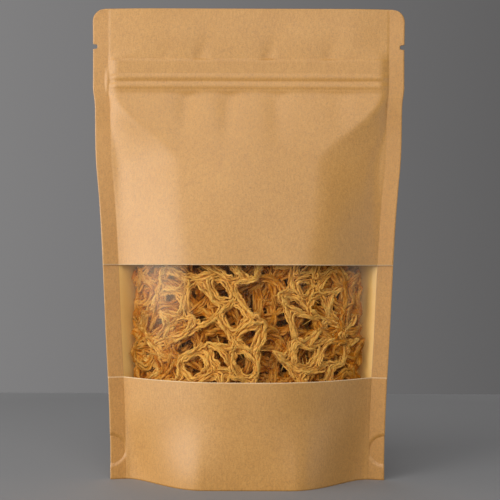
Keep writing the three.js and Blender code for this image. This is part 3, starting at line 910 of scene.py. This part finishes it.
def add_loop(filaments, places, net, thick, tone, rng):
    """One filament round a hole, winding from front to back through its strands."""
    path = smooth_loop(places, net.samples)
    steps = np.linalg.norm(np.roll(path, -1, axis=0) - path, axis=1)
    length = steps.sum()
    share = np.concatenate([[0], np.cumsum(steps)[:-1]]) / length
    tangent = unit(np.roll(path, -1, axis=0) - np.roll(path, 1, axis=0))
    side = unit(np.cross(tangent, (0.0, -1.0, 0.0)))
    wound = closed_wave(share, length, TWIST_LENGTH, rng)
    path = path + (net.radius * crinkle(share, length, rng))[:, None] * side
    path[:, 1] += net.radius * (TWIST_DEPTH * wound + crinkle(share, length, rng))
    swollen = thick * (1 + THICKNESS_SWING * crinkle(share, length, rng))
    rings = tube(path, side, np.cross(tangent, side), swollen, net.sides)
    keep_off_walls(rings)
    # Painted light and shade: where a loop winds out towards its layer's wall it is coloured as a lit
    # crest, and where it winds inward as a shaded groove
    ridge = 0.5 - 0.5 * wound * np.sign(-path[:, 1].mean())
    filaments.add(rings, ridge[:, None], tone, True)
    return path, tangent, side


def add_frills(filaments, path, tangent, side, tone, rng):
    """Small curled frills along a loop, that grow into its hole."""
    length = np.linalg.norm(np.diff(path, axis=0), axis=1).sum()
    u = np.linspace(0, 1, FRILL_SAMPLES)[:, None]
    for _ in range(rng.poisson(length / FRILL_SPACING)):
        root = rng.integers(len(path))
        ahead = tangent[root] * rng.choice([-1, 1])
        curl = rng.normal(0, FRILL_CURL, 3)
        reach = rng.uniform(*FRILL_REACH)
        inward = -FRILL_INWARD * side[root]
        line = path[root] + reach * (u * (FRILL_AHEAD * ahead + inward) + u**2 * (curl + inward))
        along = unit(np.gradient(line, axis=0))
        across = unit(np.cross(along, (0.0, -1.0, 0.0)))
        thick = rng.uniform(*FRILL_THICK) * (1 - FRILL_TAPER * u[:, 0])
        rings = tube(line, across, np.cross(along, across), thick, FRILL_SIDES)
        keep_off_walls(rings)
        filaments.add(rings, np.full((1, 1), FRILL_PAINTED_LIGHT), tone, False)


def add_net(filaments, frond, net, rng):
    """All filaments of one net of a frond."""
    is_main = net is frond.nets[0]
    phases = rng.uniform(0, 2 * math.pi, 2)

    def fullness(places):
        across = np.sin(places[:, 0] / FULLNESS_LENGTHS[0] + phases[0])
        return 1 + FULLNESS_SWING * across * np.sin(places[:, 2] / FULLNESS_LENGTHS[1] + phases[1])

    for corners in net_holes(net):
        if is_main:
            corners = pressed_out(corners, frond.layer)
        for loop in range(net.loops):
            out = (loop + 0.5) / net.loops
            cut = net.pitch * mix(*CORNER_CUT, out)
            places = loop_places(corners, lambda at: net.radius * out * fullness(at), cut)
            thick = FILAMENT_THICK * net.radius / net.loops * rng.uniform(*FILAMENT_SPREAD)
            tone = net.tone + TONE_SWING * rng.uniform(-1, 1)
            drawn = add_loop(filaments, places, net, thick, tone, rng)
            if frond.detail == 0 and net.radius > FINE_RADIUS and loop == net.loops - 1:
                add_frills(filaments, *drawn, tone, rng)


def make_moss(material):
    """One fine piece for each frond."""
    rng = np.random.default_rng(MOSS_SEED)
    for number, frond in enumerate(grow_moss(), 1):
        filaments = Filaments()
        for net in frond.nets:
            add_net(filaments, frond, net, rng)
        node = f"moss_frond_{number:02d}"
        piece = filaments.make(f"{node}_fine", material)
        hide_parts(node)


# Materials


class Nodes:
    """Short names for building a material's nodes."""

    def __init__(self, name):
        self.material = bpy.data.materials.new(name)
        self.material.use_nodes = True
        self.tree = self.material.node_tree
        self.shader = self.tree.nodes["Principled BSDF"]

    def node(self, kind, **settings):
        made = self.tree.nodes.new(kind)
        for key, value in settings.items():
            setattr(made, key, value)
        return made

    def link(self, source, target):
        self.tree.links.new(source, target)

    def feed(self, socket, value):
        if isinstance(value, bpy.types.NodeSocket):
            self.link(value, socket)
        else:
            socket.default_value = value

    def place(self, scale):
        """Object coordinates in millimetres, stretched by scale."""
        coordinates = self.node("ShaderNodeTexCoord")
        mapping = self.node("ShaderNodeMapping")
        mapping.inputs["Scale"].default_value = [part / MM for part in scale]
        self.link(coordinates.outputs["Object"], mapping.inputs["Vector"])
        return mapping.outputs["Vector"]

    def noise(self, size, detail, roughness, stretch=(1, 1, 1)):
        """Noise of a size in millimetres, longer along the axes whose stretch is below 1."""
        texture = self.node("ShaderNodeTexNoise")
        self.link(self.place(stretch), texture.inputs["Vector"])
        for key, value in (("Scale", 1 / size), ("Detail", detail), ("Roughness", roughness)):
            self.feed(texture.inputs[key], value)
        return texture.outputs["Fac"]

    def attribute(self, name):
        return self.node("ShaderNodeAttribute", attribute_name=name).outputs["Fac"]

    def math(self, operation, a, b):
        made = self.node("ShaderNodeMath", operation=operation)
        self.feed(made.inputs[0], a)
        self.feed(made.inputs[1], b)
        return made.outputs[0]

    def scaled(self, value, scale, offset):
        """value times scale plus offset."""
        made = self.node("ShaderNodeMath", operation="MULTIPLY_ADD")
        self.feed(made.inputs[0], value)
        self.feed(made.inputs[1], scale)
        self.feed(made.inputs[2], offset)
        return made.outputs[0]

    def weighted(self, first, first_weight, second, second_weight):
        """Sum of two values by their weights."""
        first = self.math("MULTIPLY", first, first_weight)
        second = self.math("MULTIPLY", second, second_weight)
        return self.math("ADD", first, second)

    def ramp(self, factor, positions, colours):
        made = self.node("ShaderNodeValToRGB")
        elements = made.color_ramp.elements
        while len(elements) < len(positions):
            elements.new(0.5)
        for element, position, colour in zip(elements, positions, colours):
            element.position = position
            element.color = (*colour, 1)
        self.link(factor, made.inputs["Fac"])
        return made.outputs["Color"]

    def blend(self, share, first, second, how="MIX"):
        made = self.node("ShaderNodeMix", data_type="RGBA", blend_type=how)
        self.feed(made.inputs["Factor"], share)
        self.feed(made.inputs[MIX_FIRST], first)
        self.feed(made.inputs[MIX_SECOND], second)
        return made.outputs[MIX_RESULT]

    def bump(self, height, distance, strength):
        """Fine relief of the surface; the distance is in millimetres."""
        made = self.node("ShaderNodeBump")
        self.feed(made.inputs["Strength"], strength)
        self.feed(made.inputs["Distance"], distance * MM)
        self.link(height, made.inputs["Height"])
        self.link(made.outputs["Normal"], self.shader.inputs["Normal"])

    def set(self, **values):
        """Values or links for the shader's sockets."""
        for key, value in values.items():
            self.feed(self.shader.inputs[key.replace("_", " ").title().replace("Ior", "IOR")], value)


def screen(colours):
    """Linear colours of 8-bit screen colours."""

    def linear(part):
        part /= 255
        return part / 12.92 if part <= 0.04045 else ((part + 0.055) / 1.055) ** 2.4

    return [[linear(part) for part in colour] for colour in colours]


def kraft_material():
    """Brown kraft laminate: cloudy pulp, fine grain, short fibres, pressed seams."""
    kit = Nodes("kraft_paper")
    cloud = kit.noise(size=16, detail=4, roughness=0.6)
    grain = kit.noise(size=0.7, detail=3, roughness=0.7)
    fibre = kit.noise(size=0.8, detail=3, roughness=0.6, stretch=(1, 1, 0.35))
    colour = kit.ramp(cloud, (0.3, 0.7), screen(KRAFT_CLOUD))
    flecks = kit.ramp(fibre, (0.3, 0.5, 0.74), screen(KRAFT_FLECKS))
    colour = kit.blend(0.3, colour, flecks)
    speckle = kit.ramp(grain, (0.3, 0.5, 0.72), KRAFT_SPECKLE)
    colour = kit.blend(0.6, colour, speckle, "MULTIPLY")
    pressed = kit.blend(kit.attribute("seam"), UNTINTED, KRAFT_SEAM)
    colour = kit.blend(1.0, colour, pressed, "MULTIPLY")
    kit.set(base_color=colour, roughness=kit.scaled(grain, scale=0.2, offset=0.4))
    kit.set(ior=1.6, specular_ior_level=0.85)
    kit.bump(kit.weighted(grain, 0.6, fibre, 0.3), distance=0.1, strength=0.5)
    return kit.material


def cut_edge_material():
    """The paper's bare cut edge: paler, with torn fibres."""
    kit = Nodes("kraft_cut_edge")
    fibre = kit.noise(size=0.4, detail=3, roughness=0.7)
    kit.set(base_color=kit.ramp(fibre, (0.3, 0.7), screen(CUT_EDGE_FIBRE)), roughness=0.9)
    kit.bump(fibre, distance=0.1, strength=0.5)
    return kit.material


def painted_light_lining_material():
    """The papers' inner face: the same pulp under a glossy sealing layer, coloured brighter as painted
    light for the inside of the pouch.
    """
    kit = Nodes("kraft_lining_painted_light")
    cloud = kit.noise(size=12, detail=4, roughness=0.6)
    kit.set(base_color=kit.ramp(cloud, (0.3, 0.7), screen(LINING_PAINTED_LIGHT_CLOUD)), roughness=0.35)
    return kit.material


def film_material():
    """Clear glossy film: it hides little, mirrors the lights softly, has a faint haze and milky bands of
    painted glare.
    """
    kit = Nodes("clear_film")
    haze = kit.noise(size=14, detail=3, roughness=0.6, stretch=(1, 1, 0.25))
    smear = kit.noise(size=5, detail=3, roughness=0.6, stretch=(1, 1, 0.15))
    wave = kit.noise(size=7, detail=2, roughness=0.5, stretch=(1, 1, 0.3))
    # Painted glare: in its bands the film is more opaque and rougher, so the lamps' sheen shows there
    painted_glare = kit.attribute("painted_glare")
    gloss = kit.scaled(smear, scale=0.2, offset=0.07)
    kit.set(base_color=FILM_TINT, metallic=0.6)
    kit.set(roughness=kit.math("ADD", gloss, kit.math("MULTIPLY", painted_glare, FILM_GLARE_ROUGHNESS)))
    kit.set(alpha=kit.math("ADD", kit.math("MULTIPLY", haze, FILM_HAZE), painted_glare))
    kit.bump(wave, distance=0.25, strength=0.5)
    return kit.material


def zip_material():
    """Milky polyethylene with fine draw lines along the strip."""
    kit = Nodes("zip_plastic")
    lines = kit.noise(size=0.5, detail=2, roughness=0.5, stretch=(0.02, 1, 1))
    colour = kit.ramp(lines, (0.3, 0.7), screen(ZIP_LINES))
    kit.set(base_color=colour, roughness=0.38, subsurface_weight=0.15)
    kit.bump(lines, distance=0.05, strength=0.4)
    return kit.material


def moss_material():
    """Dried moss: straw-gold crests and amber grooves as painted light and shade, straw front nets and
    amber ones behind as painted shade, fine wrinkles and a horny gloss.
    """
    kit = Nodes("dried_moss")
    ridge = kit.attribute("ridge")
    patch = kit.noise(size=6, detail=4, roughness=0.6)
    wrinkle = kit.noise(size=0.9, detail=4, roughness=0.7)
    # Painted light and shade: lit crests, shaded grooves
    painted_crest_colour = kit.ramp(ridge, (0.0, 0.5, 1.0), screen(MOSS_PAINTED_CREST_LIGHT))
    # The moss's own tone, with painted shade on the nets further in
    hue = kit.ramp(kit.attribute("tone"), (0.0, 0.5, 1.0), screen(MOSS_TONE_AND_SHADE))
    colour = kit.blend(0.5, painted_crest_colour, hue)
    stain = kit.ramp(patch, (0.3, 0.5, 0.75), MOSS_STAIN)
    colour = kit.blend(0.5, colour, stain, "MULTIPLY")
    flecks = kit.ramp(wrinkle, (0.3, 0.6), MOSS_FLECKS)
    colour = kit.blend(0.5, colour, flecks, "MULTIPLY")
    kit.set(base_color=colour, roughness=0.55, specular_ior_level=0.15, specular_tint=MOSS_GLOSS)
    kit.set(subsurface_weight=0.25, subsurface_scale=0.0015, subsurface_radius=MOSS_GLOW)
    kit.bump(kit.weighted(wrinkle, 0.7, ridge, 0.5), distance=0.5, strength=0.8)
    return kit.material


def floor_material():
    """A plain pale floor, paler far away so that it runs into the background."""
    kit = Nodes("studio_floor")
    away = kit.node("ShaderNodeVectorMath", operation="LENGTH")
    kit.link(kit.place((1, 1, 1)), away.inputs[0])
    share = kit.math("DIVIDE", away.outputs["Value"], FLOOR_FADE)
    kit.set(base_color=kit.ramp(share, (0.15, 0.8), FLOOR_COLOURS), roughness=0.8)
    return kit.material


# Studio


def put_facing(thing, place, aim):
    """Puts a light or camera in its place, turned to what it aims at."""
    thing.location = place
    thing.rotation_euler = (Vector(aim) - Vector(place)).to_track_quat("-Z", "Y").to_euler()


def area_light(name, place, size, power, colour=(1, 1, 1), spread=180):
    """A rectangular light that faces the pouch."""
    data = bpy.data.lights.new(name, "AREA")
    data.shape = "RECTANGLE"
    data.size, data.size_y = size
    data.energy = power
    data.color = colour
    data.spread = math.radians(spread)
    put_facing(add_to_scene(name, data), place, LIGHT_AIM)


def make_floor():
    reach, back = FLOOR_REACH, FLOOR_BACK
    corners = [(-reach, back, 0), (-reach, -reach, 0), (reach, -reach, 0), (reach, back, 0)]
    mesh = bpy.data.meshes.new("studio_floor")
    mesh.from_pydata(corners, [], [(0, 1, 2, 3)])
    mesh.materials.append(floor_material())
    floor = add_to_scene("studio_floor", mesh)


def make_wall():
    """A grey background that darkens from left to right."""
    world = bpy.data.worlds.new("studio")
    world.use_nodes = True
    nodes, links = world.node_tree.nodes, world.node_tree.links
    background = nodes["Background"]
    direction = nodes.new("ShaderNodeTexCoord")
    across = nodes.new("ShaderNodeSeparateXYZ")
    spread = nodes.new("ShaderNodeMapRange")
    colours = nodes.new("ShaderNodeValToRGB")
    spread.inputs["From Min"].default_value = -WALL_TURN
    spread.inputs["From Max"].default_value = WALL_TURN
    for element, colour in zip(colours.color_ramp.elements, WALL_COLOURS):
        element.color = colour
    links.new(direction.outputs["Generated"], across.inputs["Vector"])
    links.new(across.outputs["X"], spread.inputs["Value"])
    links.new(spread.outputs["Result"], colours.inputs["Fac"])
    links.new(colours.outputs["Color"], background.inputs["Color"])
    background.inputs["Strength"].default_value = WALL_STRENGTH
    bpy.context.scene.world = world


def make_studio():
    make_floor()
    make_wall()
    bpy.context.scene.view_settings.view_transform = "Standard"
    for light in LIGHTS:
        area_light(*light)


def make_camera():
    data = bpy.data.cameras.new("camera")
    data.angle = CAMERA_FOV
    camera = add_to_scene("camera", data)
    put_facing(camera, (CAMERA_AIM[0], -CAMERA_DISTANCE, CAMERA_HEIGHT), CAMERA_AIM)
    camera.rotation_euler.rotate_axis("Z", CAMERA_ROLL)
    bpy.context.scene.camera = camera


def make_pouch(frame):
    """The papers, the gusset and the film, and the plastic of the zip."""
    kraft = [kraft_material(), cut_edge_material(), painted_light_lining_material()]
    upper = row_heights(WINDOW_TOP, POUCH_HEIGHT, ROW_STEP)
    lower = row_heights(0, WINDOW_BOTTOM, LOWER_ROW_STEP)
    whole = row_heights(0, POUCH_HEIGHT, BACK_ROW_STEP)
    window = row_heights(WINDOW_BOTTOM - WINDOW_LAP, WINDOW_TOP + WINDOW_LAP, ROW_STEP)
    pieces = {
        "pouch_front_upper": paper_panel("kraft_front_upper", upper, -1, front_relief, kraft),
        "pouch_front_lower": paper_panel("kraft_front_lower", lower, -1, front_relief, kraft),
        "pouch_back": paper_panel("kraft_back", whole, 1, back_relief, kraft),
        "pouch_gusset": gusset_panel("kraft_gusset", kraft[OUTER_FACE]),
        "pouch_window_film": film_panel("window_film", window, film_material()),
    }
    for node, piece in pieces.items():
        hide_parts(node)
    plastic = zip_material()
    for node in ("zip_groove_front", "zip_rib_back"):
        frame["nodes"][node].data.materials.clear()
        frame["nodes"][node].data.materials.append(plastic)


def main():
    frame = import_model()
    make_pouch(frame)
    make_moss(moss_material())
    make_studio()
    make_camera()


main()
